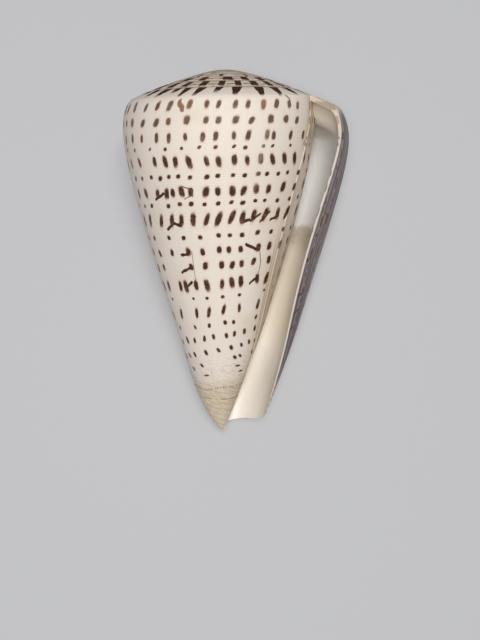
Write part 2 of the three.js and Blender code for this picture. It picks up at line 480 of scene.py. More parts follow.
@dataclass(frozen=True)
class ShellRelief:
    """Low relief of the outside, in millimetres. All of it goes inward."""

    inset: float = 0.07
    lip_round_turn: float = 0.0036
    lip_round_outside: float = 0.3
    lip_round_inside: float = 0.22
    wave_height: float = 0.22
    wave_size: float = 26.0
    wave_circle: float = 40.0
    groove_depth: float = 0.2
    groove_pitch: float = 2.3
    groove_climb: float = 9.0  # millimetres that a groove runs down in each turn
    groove_from: float = 92.0
    groove_full: float = 108.0
    suture_fade: float = 0.06  # turns over which a groove begins behind the step
    fade_at_shoulder: float = 0.12
    fade_at_tip: float = 0.03


class Bench:
    """A node tree under construction, with the nodes that meshes and materials share."""

    def __init__(self, tree: Tree) -> None:
        """Keeps the tree."""
        self.tree = tree

    def add(self, kind: str, given: Given, **settings: object) -> bpy.types.Node:
        """Adds a node to this tree, as add_node does."""
        return add_node(self.tree, kind, given, **settings)

    def joined(self, x: Scalar, y: Scalar, z: Scalar = 0.0) -> Socket:
        """Joins three numbers into a vector."""
        return self.add("ShaderNodeCombineXYZ", {0: x, 1: y, 2: z}).outputs[0]

    def split(self, vector: Socket) -> tuple[Field, Field, Field]:
        """Splits a vector into its three numbers."""
        node = self.add("ShaderNodeSeparateXYZ", {0: vector})
        return tuple(Field(self.tree, socket) for socket in node.outputs)

    def noise(self, place: Socket, scale: float, detail: float = 2.0) -> Field:
        """Soft random values around 0.5.

        Args:
            place: Where it is read, in millimetres.
            scale: Waves for each millimetre.
            detail: How many finer waves are added.

        Returns:
            The values.
        """
        given = {"Vector": place, "Scale": scale, "Detail": detail}
        return Field(self.tree, self.add("ShaderNodeTexNoise", given).outputs[0])


class GeometrySketch(Bench):
    """A geometry node tree under construction."""

    def __init__(self, name: str) -> None:
        """Starts an empty tree with one geometry output."""
        super().__init__(bpy.data.node_groups.new(name, "GeometryNodeTree"))
        self.tree.is_modifier = True
        self.tree.interface.new_socket("Geometry", in_out="OUTPUT", socket_type="NodeSocketGeometry")
        self.inputs: dict[str, float] = {}

    def size_input(self, name: str, value: float) -> None:
        """Adds a number to the inputs of the tree.

        Args:
            name: Its name.
            value: What it is set to.
        """
        socket = self.tree.interface.new_socket(name, in_out="INPUT", socket_type="NodeSocketFloat")
        socket.default_value = value
        self.inputs[socket.identifier] = value

    def grid(self, columns: int, rows: int) -> Socket:
        """Adds a flat unit grid with so many vertices along X and Y."""
        given = {"Size X": 1.0, "Size Y": 1.0, "Vertices X": columns, "Vertices Y": rows}
        return self.add("GeometryNodeMeshGrid", given).outputs["Mesh"]

    def position(self) -> tuple[Field, Field, Field]:
        """The three coordinates of each point."""
        return self.split(self.add("GeometryNodeInputPosition", {}).outputs[0])

    def moved(self, mesh: Socket, place: Place) -> Socket:
        """Sets the coordinates of each vertex of a mesh."""
        given = {"Geometry": mesh, "Position": self.joined(*place)}
        return self.add("GeometryNodeSetPosition", given).outputs["Geometry"]

    def keep(self, mesh: Socket, name: str, value: Scalar) -> Socket:
        """Keeps a named number with each face of a mesh.

        Args:
            mesh: The mesh.
            name: Name of the number.
            value: The number.

        Returns:
            The mesh that holds it.
        """
        kind = "GeometryNodeStoreNamedAttribute"
        given = {"Geometry": mesh, "Name": name, "Value": value}
        return self.add(kind, given, data_type="FLOAT", domain="FACE").outputs["Geometry"]

    def kept(self, name: str) -> Field:
        """Reads a number that was kept with the faces, by its name."""
        node = self.add("GeometryNodeInputNamedAttribute", {"Name": name}, data_type="FLOAT")
        return Field(self.tree, node.outputs["Attribute"])

    def flipped(self, mesh: Socket) -> Socket:
        """Turns the faces of a mesh round."""
        return self.add("GeometryNodeFlipFaces", {"Mesh": mesh}).outputs["Mesh"]

    def welded(self, meshes: list[Socket]) -> Socket:
        """Joins meshes and welds the points that they share.

        Args:
            meshes: The meshes.

        Returns:
            One mesh.
        """
        join = self.add("GeometryNodeJoinGeometry", {})
        for mesh in meshes:
            self.tree.links.new(mesh, join.inputs[0])
        given = {"Geometry": join.outputs[0], "Distance": WELD}
        return self.add("GeometryNodeMergeByDistance", given).outputs["Geometry"]

    def turned(self, mesh: Socket, turn: Vector, place: Vector, scale: float) -> Socket:
        """Scales, turns and then moves a mesh.

        Args:
            mesh: The mesh.
            turn: Angles about X, Y and Z, in radians.
            place: The move.
            scale: The scale.

        Returns:
            The mesh in its place.
        """
        given = {"Geometry": mesh, "Rotation": turn, "Translation": place, "Scale": (scale,) * 3}
        return self.add("GeometryNodeTransform", given).outputs["Geometry"]


def grouped(name: str) -> Callable[..., Field]:
    """Makes a method that works a part of the rule out in a node group.

    Args:
        name: The part, a method of ShellGrowth.

    Returns:
        The method.
    """

    def part(growth: "GroupedGrowth", *values: Field) -> Field:
        """Adds a node for the group, and builds the group if this is its first use.

        Args:
            growth: The rule.
            *values: The inputs of the part, in order.

        Returns:
            Its result.
        """
        group = bpy.data.node_groups.get(name) or growth.group(name, len(values))
        titles = [item.name for item in group.interface.items_tree if item.in_out == "INPUT"]
        given = {
            title: getattr(growth, title, None) or values[int(title.removeprefix(VALUE))]
            for title in titles
        }
        tree = tree_of(*values)
        node = tree.nodes.new("GeometryNodeGroup")
        node.node_tree = group
        for title, value in given.items():
            tree.links.new(value.socket, node.inputs[title])
        return Field(tree, node.outputs[0])

    return part


class GroupedGrowth(ShellGrowth):
    """The same rule in a geometry node tree, with its longer parts as node groups."""

    open_radius = grouped("open_radius")
    crest = grouped("crest")
    whorl = grouped("whorl")
    lip_angle = grouped("lip_angle")
    hollow_width = grouped("hollow_width")

    @staticmethod
    def group(name: str, count: int) -> Tree:
        """Builds the group of one part of the rule.

        Args:
            name: Name of the part.
            count: How many values it takes, besides the sizes it needs.

        Returns:
            The group.
        """
        tree = bpy.data.node_groups.new(name, "GeometryNodeTree")
        sizes = [size.name for size in fields(ShellGrowth)]
        values = [f"{VALUE}{number}" for number in range(count)]
        for title in (*values, *sizes):
            tree.interface.new_socket(title, in_out="INPUT", socket_type="NodeSocketFloat")
        tree.interface.new_socket("Result", in_out="OUTPUT", socket_type="NodeSocketFloat")
        given = tree.nodes.new("NodeGroupInput").outputs
        inner = GroupedGrowth(**{title: Field(tree, given[title]) for title in sizes})
        result = getattr(ShellGrowth, name)(inner, *(Field(tree, given[title]) for title in values))
        tree.links.new(result.socket, tree.nodes.new("NodeGroupOutput").inputs[0])
        unused = [title for title in (*values, *sizes) if not given[title].is_linked]
        for item in list(tree.interface.items_tree):
            if item.in_out == "INPUT" and item.name in unused:
                tree.interface.remove(item)
        return tree


class ShellTree:
    """The geometry node tree that grows the shell."""

    def __init__(
        self, growth: ShellGrowth, lattice: ShellLattice, relief: ShellRelief, pose: ShellPose
    ) -> None:
        """Adds the named sizes, and keeps a rule that works on them.

        Args:
            growth: The sizes.
            lattice: How finely it is laid out.
            relief: Its low relief.
            pose: How it lies.
        """
        self.sketch = GeometrySketch("shell_growth")
        self.lattice = lattice
        self.relief = relief
        self.pose = pose
        for size in fields(growth):
            self.sketch.size_input(size.name, getattr(growth, size.name))
        given = self.sketch.add("NodeGroupInput", {}).outputs
        sizes = {size.name: Field(self.sketch.tree, given[size.name]) for size in fields(growth)}
        self.rule = GroupedGrowth(**sizes)
        x, y, _ = self.sketch.position()
        self.across, self.along = x + 0.5, y + 0.5  # shares of the way over a unit grid

    def place(self, turn: Scalar, depth: Field, radius: Field) -> Place:
        """A point of the shell in its own frame: axis along Y, apex up.

        Args:
            turn: The turn.
            depth: The depth below the apex.
            radius: The distance from the axis.

        Returns:
            The three coordinates, in millimetres.
        """
        angle = self.rule.lip_angle(depth) + turn * math.tau
        aside = radius * cosine(angle) + self.rule.shift(depth)
        return aside, self.rule.length / 2.0 - depth, radius * sine(angle)

    def lip_round(self, turn: Field) -> Field:
        """1 at the very edge of the lip, 0 behind its rounding."""
        return (1.0 - ramp(-turn, 0.0, self.relief.lip_round_turn)) ** 2.0

    def past_fade(self, turn: Field) -> Field:
        """0 at the step behind the lip, 1 from where the suture groove is full."""
        return ramp(turn + 1.0, 0.0, self.relief.suture_fade)

    def crowded(self, share: Field, crowding: float) -> Field:
        """Crowds even steps toward the whole numbers."""
        return share - sine(share * math.tau) * (crowding / math.tau)

    def turn(self) -> Field:
        """The turn of a column of the outside, from the lip back."""
        return -self.crowded(self.across, self.lattice.column_crowding)

    def spire_point(self, turn: Field, strip: Field, keep: Scalar) -> Place:
        """A point of the spire.

        Args:
            turn: The turn.
            strip: The whorl, 1 at its outer suture and a whole number less at each older one.
            keep: 0 pulls the point to the apex.

        Returns:
            The three coordinates.
        """
        spiral = self.rule.suture(turn + strip) * keep
        depth = self.rule.spire_depth(spiral)
        radius = blend(spiral, self.rule.crest(turn, depth), above(strip, TINY))
        nearest = strip - whole(strip + 0.5)
        fading = above(strip, 0.5) * self.past_fade(turn)
        groove = hill(nearest, self.rule.suture_groove_width) * (1.0 - fading)
        drop = self.rule.suture_groove * groove * spiral / self.rule.suture_radius
        return self.place(turn, depth + drop, radius)

    def flank_point(self, turn: Field) -> Place:
        """A point of the flank at a turn, by its share of the way down.

        Args:
            turn: The turn.

        Returns:
            The three coordinates.
        """
        rule = self.rule
        top = rule.spire_depth(rule.shoulder(turn))
        share = (1.0 - cosine(self.along * (math.pi * self.lattice.front_share))) / 2.0
        at_top = above(TINY, self.along)
        at_tip = above(self.along, 1.0 - TINY)
        depth = blend(blend(top, rule.length, share), rule.length, at_tip)
        radius = (rule.whorl(turn, depth) - self.low_relief(turn, depth)) * (1.0 - at_tip)
        scale = rule.shoulder(turn) / rule.suture_radius
        drop = rule.suture_groove * (1.0 - self.past_fade(turn)) * scale * at_top
        return self.place(turn, depth + drop, blend(radius, rule.crest(turn, top), at_top))

    def low_relief(self, turn: Field, depth: Field) -> Field:
        """How far the low relief takes the flank in.

        Args:
            turn: The turn.
            depth: The depth below the apex.

        Returns:
            Millimetres inward.
        """
        relief = self.relief
        angle = turn * math.tau
        reach = relief.wave_circle / relief.wave_size
        spot = self.sketch.joined(cosine(angle) * reach, depth / relief.wave_size, sine(angle) * reach)
        wave = self.sketch.noise(spot, 1.0) * relief.wave_height
        lean = (depth + turn * relief.groove_climb) * (math.tau / relief.groove_pitch)
        front = ramp(depth, relief.groove_from, relief.groove_full)
        groove = (1.0 + cosine(lean)) * (relief.groove_depth / 2.0)
        edge = self.lip_round(turn) * relief.lip_round_outside
        fading = ramp(self.along, 0.0, relief.fade_at_shoulder)
        fading = fading * ramp(1.0 - self.along, 0.0, relief.fade_at_tip)
        return (relief.inset + wave + groove * front + edge) * fading

    def outside(self) -> Socket:
        """The closed outside, from the apex to the front tip, with the step behind the lip.

        Returns:
            The spire, the flank, the step, and the two fans that close the spire at the step.
        """
        sketch = self.sketch
        lattice = self.lattice
        columns = lattice.columns + 1
        strip_rows = lattice.strip_rows + 1
        rows = lattice.spire_whorls * lattice.strip_rows + 1
        oldest = 1.0 - lattice.spire_whorls
        row = self.along * float(rows)
        strip = self.crowded((row - 1.0) / lattice.strip_rows + oldest, lattice.row_crowding)
        inner = self.crowded(self.along, lattice.row_crowding)
        at_lip = self.across * 0.0
        spire = self.spire_point(self.turn(), strip, above(row, 0.5))
        apex_fan = self.spire_point(at_lip - 1.0, inner + oldest, self.across)
        shoulder_fan = self.spire_point(at_lip, inner * self.across, 1.0)
        meshes = [
            sketch.moved(sketch.grid(columns, rows + 1), spire),
            sketch.moved(sketch.grid(columns, lattice.flank_rows), self.flank_point(self.turn())),
            sketch.moved(sketch.grid(2, lattice.flank_rows), self.flank_point(self.across - 1.0)),
            sketch.flipped(sketch.moved(sketch.grid(2, strip_rows), apex_fan)),
            sketch.moved(sketch.grid(2, strip_rows), shoulder_fan),
        ]
        return sketch.flipped(sketch.welded(meshes))

    def hollow_point(self, turn: Field, row: Field, outer: Field) -> Place:
        """A point of the cutter that hollows the last whorl.

        Args:
            turn: The turn.
            row: Its row, from the shoulder side to the front.
            outer: 1 on the outer side, 0 on the inner side.

        Returns:
            The three coordinates.
        """
        rule = self.rule
        lattice = self.lattice
        last = lattice.hollow_rows - 1
        closed = rule.front_closed(turn)
        closed_front = rule.length * rule.grown(turn) * rule.hollow_front_share
        front = blend(rule.length, closed_front, closed)
        along = blend(lattice.hollow_first_share, 1.0, row / (last - 1.0))
        share = (1.0 - cosine(along * math.pi)) / 2.0
        depth = blend(rule.spire_depth(rule.suture(turn)), front, share)
        past = front + blend(lattice.front_overrun, lattice.hollow_least, closed)
        depth = blend(depth, past, above(row, last - 0.5))
        inner = rule.hollow_inner(turn, depth)
        edge = self.lip_round(turn) * self.relief.lip_round_inside
        width = greater(rule.hollow_width(turn, depth, inner, front) + edge, lattice.hollow_least)
        return self.place(turn, depth, inner + width * outer)

    def hollow(self) -> Socket:
        """The closed cutter: a curved slab that winds in from the mouth.

        Returns:
            The slab and its two end caps, with the faces of the parietal wall marked.
        """
        sketch = self.sketch
        lattice = self.lattice
        rows = lattice.hollow_rows
        around = self.along * (2.0 * rows)
        around = around - above(around, 2.0 * rows - 0.5) * (2.0 * rows)
        deepest = -self.rule.hollow_turn
        turn = blend(lattice.hollow_from_turn, deepest, self.across**lattice.hollow_crowding)
        outer = above(rows - 0.5, around)
        wall = above(around, float(rows)) * above(2.0 * rows - 1.0, around)
        wall = wall * above(turn, -lattice.enamel_turns)
        grid = sketch.keep(sketch.grid(lattice.hollow_columns, 2 * rows + 1), PARIETAL_WALL, wall)
        point = self.hollow_point(turn, lesser(around, 2.0 * rows - 1.0 - around), outer)
        row = self.along * (rows - 1.0)
        ends = (self.across * 0.0 + lattice.hollow_from_turn, self.across * 0.0 + deepest)
        first, last = (
            sketch.moved(sketch.grid(2, rows), self.hollow_point(end, row, 1.0 - self.across))
            for end in ends
        )
        return sketch.flipped(sketch.welded([sketch.moved(grid, point), sketch.flipped(first), last]))

    def build(self, enamel: bpy.types.Material, glaze: bpy.types.Material) -> Tree:
        """Hollows the outside, lays the shell down and gives it its materials.

        Args:
            enamel: Material of the outside.
            glaze: Material of the mouth.

        Returns:
            The finished tree.
        """
        sketch = self.sketch
        given = {"Mesh 1": self.outside(), "Mesh 2": sketch.keep(self.hollow(), MOUTH, 1.0)}
        cut = sketch.add("GeometryNodeMeshBoolean", given, operation="DIFFERENCE", solver="MANIFOLD")
        roll = Vector((0.0, math.radians(self.pose.axis_roll), 0.0))
        tilt = Vector((math.radians(self.pose.axis_tilt), 0.0, 0.0))
        rolled = sketch.turned(cut.outputs["Mesh"], roll, Vector(), 1.0)
        lying = sketch.turned(rolled, tilt, Vector(self.pose.offset()), self.pose.scale)
        sketch.add("NodeGroupOutput", {0: self.finished(lying, enamel, glaze)})
        return sketch.tree

    def finished(self, mesh: Socket, enamel: bpy.types.Material, glaze: bpy.types.Material) -> Socket:
        """Wears the underside flat, smooths the faces and sets the materials.

        Args:
            mesh: The shell in its place.
            enamel: Material of the outside.
            glaze: Material of the mouth.

        Returns:
            The finished mesh.
        """
        sketch = self.sketch
        x, y, z = sketch.position()
        worn = sketch.moved(mesh, (x, y, greater(z, 0.0)))
        soft = sketch.add("GeometryNodeSetShadeSmooth", {"Geometry": worn}, domain="FACE")
        bend = Field(sketch.tree, sketch.add("GeometryNodeInputMeshEdgeAngle", {}).outputs[0])
        sharp = above(bend, math.radians(self.lattice.crisp_edge))
        given = {"Geometry": soft.outputs[0], "Selection": sharp, "Shade Smooth": False}
        crisp = sketch.add("GeometryNodeSetShadeSmooth", given, domain="EDGE")
        real = sketch.add("GeometryNodeRealizeInstances", {"Geometry": crisp.outputs[0]})
        given = {"Geometry": real.outputs[0], "Material": enamel}
        dressed = sketch.add("GeometryNodeSetMaterial", given)
        glazed_here = above(sketch.kept(MOUTH) - sketch.kept(PARIETAL_WALL), 0.5)
        given = {"Geometry": dressed.outputs[0], "Selection": glazed_here, "Material": glaze}
        return sketch.add("GeometryNodeSetMaterial", given).outputs[0]


@dataclass(frozen=True)
class SpotRow:
    """One spiral row of brown marks.

    The angles are degrees past the step behind the lip. Half sizes are in millimetres, and
    the lean is how far the top goes aside for each millimetre up.
    """

    depth: float
    height: float
    width: float
    lean: float
    angles: tuple[float, ...]


@dataclass(frozen=True)
class Stroke:
    """A thin straight mark between two places, each an angle in degrees and a row depth."""

    start: tuple[float, float]
    end: tuple[float, float]
    width: float = 0.42


FLANK_ROWS = (
    SpotRow(11.1, 1.4, 0.74, 0.12, (
        1, 16.8, 24.5, 33.6, 42, 51.1, 58.1, 67.2, 73.6, 83, 94.6, 102.7, 111.6, 122.9, 132.5)),
    SpotRow(15.3, 1.15, 0.85, 0.05, (
        0.3, 15.8, 25.2, 35.6, 46.8, 55.7, 64.8, 71.5, 81.9, 92.4, 100.3, 110.7, 121.9, 130.3)),
    SpotRow(19.6, 1.4, 0.68, 0.2, (
        6.4, 18.7, 31.2, 35.5, 46.6, 54.5, 64.1, 71, 80.6, 90.2, 98.4, 110.1, 120, 130.6)),
    SpotRow(22.6, 0.58, 0.55, 0, (
        0.7, 16.8, 30.2, 36, 46.6, 53, 62.9, 71.7, 81.6, 91.7, 102.7, 117.6, 129.1)),
    SpotRow(26.2, 1.7, 0.8, 0.35, (
        -2.9, 9.8, 18.9, 27.8, 35.7, 43.7, 51.1, 59.7, 66.5, 76.3, 84.5, 91.2, 98.9, 112.8, 124.3)),
    SpotRow(30.4, 0.72, 0.72, 0, (
        1.2, 13, 20.8, 29.1, 35, 43.2, 50.1, 58.8, 65, 74.9, 82.3, 88.5, 94.8, 102.2, 111.8, 121)),
    SpotRow(34.7, 1.5, 0.85, 0.1, (
        1.7, 13.7, 25.4, 34.1, 42, 48.8, 57.6, 64.8, 74.1, 80, 86, 90.4, 98, 109.9, 120.5)),
    SpotRow(38.2, 0.68, 0.7, 0, (
        3.6, 15.8, 26.2, 33.1, 41.3, 48.5, 56.6, 65.1, 73.6, 81.3, 90, 105.6, 114.7, 127)),
    SpotRow(42.6, 2.1, 0.8, -0.1, (
        2.4, 12.5, 23.5, 32.2, 39.8, 47, 55.7, 63.4, 72.5, 80.9, 88.5, 98.2, 111.4, 122)),
    SpotRow(47.8, 0.8, 0.72, 0, (
        1.4, 14.7, 26.9, 38.6, 47.2, 55.2, 68, 80.6, 93.6, 111.8, 124)),
    SpotRow(52.2, 1.35, 0.8, 0.1, (
        0.3, 13.4, 24, 38.4, 47.5, 54.5, 67, 78.4, 93.6, 109.4, 123)),
    SpotRow(56.9, 1.3, 0.76, 0, (
        10.6, 26.4, 36.7, 44.4, 52.8, 65.8, 77.8, 109.4, 122)),
    SpotRow(62.8, 1.95, 0.78, 0.0, (
        8.9, 20.2, 36.3, 44.4, 53, 66.2, 76.3, 86.9, 93.1, 110.9, 123)),
    SpotRow(66.9, 0.55, 0.5, 0, (8.6, 37, 53.1, 68, 81.9, 112, 128)),
    SpotRow(71.6, 1.85, 0.58, -0.12, (13.9, 36.7, 53, 68.4, 82.1, 104, 124)),
    SpotRow(75.9, 0.9, 0.54, 0, (13.4, 43, 52.5, 70.8, 89.1, 117.1)),
    SpotRow(80.2, 1.15, 0.55, 0, (12, 28.6, 42.2, 52.3, 68.2, 80.6, 96, 109.4, 123.8)),
    SpotRow(84.9, 0.98, 0.52, 0.2, (6.5, 18.4, 31.4, 46.6, 64.5, 83, 103.7, 116.2, 130)),
    SpotRow(89.2, 0.85, 0.5, 0.5, (4.8, 31.7, 40.8, 96, 118)),
    SpotRow(92.6, 0.45, 0.75, 1.2, (34.1, 92)),
    SpotRow(95.1, 0.42, 0.8, 0.6, (25.6, 121)),
)

STROKES = (
    Stroke((12.9, 43.5), (18, 44.0)),
    Stroke((20.2, 41.6), (26.4, 44.4), 0.38),
    Stroke((27.4, 42.0), (34, 43.9), 0.36),
    Stroke((35, 43.6), (40.5, 44.2)),
    Stroke((82, 44.3), (87.4, 43.4)),
    Stroke((87.4, 43.4), (93.1, 45.2)),
    Stroke((25.9, 52.9), (34.6, 51.1)),
    Stroke((79.2, 52.9), (84.5, 53.0)),
    Stroke((79.2, 57.2), (87.8, 58.4)),
    Stroke((19.2, 61.7), (27.6, 63.8), 0.4),
    Stroke((79.7, 61.6), (86, 63.0), 0.4),
    Stroke((93, 34.9), (100, 36.4), 0.4),
    Stroke((89.6, 10.2), (86.2, 12.3), 0.6),
)

SCARS = (
    Stroke((80.2, 32.9), (76.0, 33.6), 0.14),
    Stroke((76.0, 33.6), (73.6, 34.2), 0.2),
    Stroke((73.6, 34.2), (72.8, 35.8), 0.22),
    Stroke((78.0, 36.6), (74.4, 35.8), 0.12),
    Stroke((21.8, 54.0), (19.2, 57.4), 0.16),
    Stroke((19.2, 57.4), (19.6, 61.6), 0.16),
    Stroke((27.5, 8.4), (24.2, 9.6), 0.22),
    Stroke((24.2, 9.6), (22.8, 11.4), 0.2),
    Stroke((75.4, 52.0), (75.8, 61.0), 0.1),
)

# On the spire the depth is not used, and the height is how much a mark narrows outward.
SPIRE_ROWS = (
    SpotRow(0.0, 0.8, 2.15, 0.7, (
        1.0, 16.5, 29.8, 43.2, 58.0, 69.9, 81.5, 92, 99.6, 108.6, 119, 129)),
    SpotRow(0.0, 0.15, 1.75, 0.0, (-1.5, 12.5, 27.4, 42.5, 56.9, 70.6, 85.7, 100, 114.5, 129)),
    SpotRow(0.0, 0.1, 2.7, 0.0, (4.3, 24.6, 46.8, 67, 92, 114)),
    SpotRow(0.0, 0.4, 1.6, 0.0, (10.3, 39.6, 76, 109)),
)


class Paint(Bench):
    """A material under construction, with the shell's own coordinates."""

    row_spread = 0.28  # how much deeper a row lies one whorl further on
    step_share = 0.98  # the corner of the step lies past this share of a turn
    step_height = 1.2  # and within so many millimetres of the whorl below

    def __init__(self, name: str, growth: ShellGrowth, pose: ShellPose) -> None:
        """Starts the material and works out turn, depth and radius at each point.

        Args:
            name: Name of the material.
            growth: The rule of the shell.
            pose: How it lies.
        """
        self.material = bpy.data.materials.new(name)
        self.material.use_nodes = True
        super().__init__(self.material.node_tree)
        self.shader = self.tree.nodes["Principled BSDF"]
        self.rule = growth
        self.place = self.unposed(pose)
        x, y, z = self.split(self.place)
        self.depth = growth.length / 2.0 - y
        aside = x - growth.shift(self.depth)
        self.radius = hypotenuse(aside, z)
        angle = math_node("ARCTAN2", z, aside) - growth.lip_angle(self.depth)
        share = math_node("FRACT", angle / math.tau)
        wall = self.add("ShaderNodeAttribute", {}, attribute_name=PARIETAL_WALL).outputs["Fac"]
        one_back = growth.flank(share * 0.0 - 1.0, self.depth) + self.step_height
        corner = above(share, self.step_share) * above(one_back, self.radius)
        inside = Field(self.tree, wall) * above(share, 0.5) + corner
        self.turn = share - 1.0 - above(inside, 0.5)
        self.past_step = (self.turn + 1.0) * 360.0
        self.row_depth = self.depth / (1.0 + self.row_spread * smooth(self.turn + 1.0))

    def unposed(self, pose: ShellPose) -> Socket:
        """Takes object coordinates back to the shell's own frame, in millimetres.

        Args:
            pose: How the shell lies.

        Returns:
            The coordinates.
        """
        place = self.add("ShaderNodeTexCoord", {}).outputs["Object"]
        steps = (
            (pose.offset(), (math.radians(pose.axis_tilt), 0.0, 0.0), pose.scale),
            ((0.0, 0.0, 0.0), (0.0, math.radians(pose.axis_roll), 0.0), 1.0),
        )
        for move, turn, scale in steps:
            given = {"Vector": place, "Location": move, "Rotation": turn, "Scale": (scale,) * 3}
            place = self.add("ShaderNodeMapping", given, vector_type="TEXTURE").outputs["Vector"]
        return place

    def patches(self, scale: float, low: float, high: float, detail: float = 2.0) -> Field:
        """Soft random patches, from 0 to 1.

        Args:
            scale: Waves for each millimetre.
            low: Noise at which they start.
            high: Noise at which they are full.
            detail: How many finer waves are added.

        Returns:
            How much of a patch is at each point.
        """
        return ramp(self.noise(self.place, scale, detail), low, high)

    def streaks(self, around: Scalar, down: Scalar = 0.0, detail: float = 2.0) -> Field:
        """Random values that are drawn out, by two coordinates of the shell."""
        return self.noise(self.joined(around, down), 1.0, detail)

    def chance(self, x: Scalar, y: Scalar) -> tuple[Field, Field, Field]:
        """Three random numbers from 0 to 1 for each cell.

        Args:
            x: First number of the cell.
            y: Second number of the cell.

        Returns:
            The random numbers.
        """
        cell = {"Vector": self.joined(x, y)}
        noise = self.add("ShaderNodeTexWhiteNoise", cell, noise_dimensions="2D")
        split = self.add("ShaderNodeSeparateColor", {0: noise.outputs["Color"]})
        return tuple(Field(self.tree, socket) for socket in split.outputs)

    def coat(self, under: Union[Socket, Colour], over: Union[Socket, Colour], amount: Scalar) -> Socket:
        """Lays one colour over another.

        Args:
            under: The lower colour.
            over: The upper colour.
            amount: How much of it covers, from 0 to 1.

        Returns:
            The colour that shows.
        """
        given = {"Factor": amount}
        for slot, colour in ((6, under), (7, over)):
            given[slot] = (*colour, 1.0) if isinstance(colour, tuple) else colour
        return self.add("ShaderNodeMix", given, data_type="RGBA").outputs[2]

    def coats(
        self, colour: Union[Socket, Colour], layers: Iterable[tuple[Union[Socket, Colour], Scalar]]
    ) -> Socket:
        """Lays several colours over one another.

        Args:
            colour: The lowest colour.
            layers: Each colour with how much of it covers, lowest first.

        Returns:
            The colour that shows.
        """
        for over, amount in layers:
            colour = self.coat(colour, over, amount)
        return colour

    def steps(self, place: Field, stops: list[tuple[float, float]]) -> Field:
        """A staircase: from each stop on, its own value.

        Args:
            place: Where it is read, from 0 to 1.
            stops: Places and values in order.

        Returns:
            The value.
        """
        node = self.add("ShaderNodeValToRGB", {0: place})
        node.color_ramp.interpolation = "CONSTANT"
        elements = node.color_ramp.elements
        elements.remove(elements[1])
        elements[0].position = 0.0
        elements[0].color = (stops[0][1],) * 4
        for stop, value in stops[1:]:
            elements.new(min(stop, 1.0)).color = (value,) * 4
        return Field(self.tree, node.outputs["Alpha"])

    def finish(
        self, colour: Socket, roughness: Field, height: Field, distance: float
    ) -> bpy.types.Material:
        """Gives the shader its colour, roughness and bump.

        Args:
            colour: The colour.
            roughness: The roughness.
            height: Height of the bump, from 0 to 1.
            distance: Metres that 1 stands for.

        Returns:
            The material.
        """
        given = {"Distance": distance, "Strength": 1.0, "Height": height}
        normal = self.add("ShaderNodeBump", given).outputs["Normal"]
        parts = {"Base Color": colour, "Roughness": roughness.socket, "Normal": normal}
        for name, socket in parts.items():
            self.tree.links.new(socket, self.shader.inputs[name])
        return self.material


